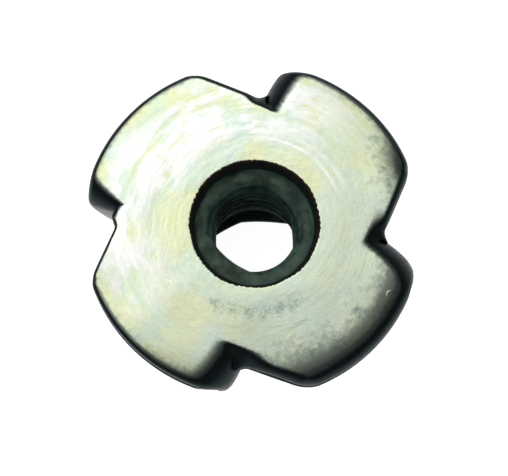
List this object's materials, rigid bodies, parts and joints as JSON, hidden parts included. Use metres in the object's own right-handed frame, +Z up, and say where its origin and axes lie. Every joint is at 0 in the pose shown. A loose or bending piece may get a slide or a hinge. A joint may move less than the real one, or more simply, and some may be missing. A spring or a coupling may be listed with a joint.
{
  "type": "tee nut",
  "caption": "Stamped steel tee nut: round flange with prongs folded down at its rim round a drawn, internally threaded barrel.",
  "frame": {"origin": "centre of the barrel's free end, which the nut stands on", "axes": "+Z up the bore to the flange face; +Y square to one sheared edge of the flange"},
  "size_m": [0.017, 0.017, 0.008],
  "materials": {
    "zinc_plated_steel": "bright zinc plating with a pale yellow and green tint"
  },
  "bodies": {
    "root": {"tee_nut": "zinc_plated_steel"}
  },
  "joints": []
}
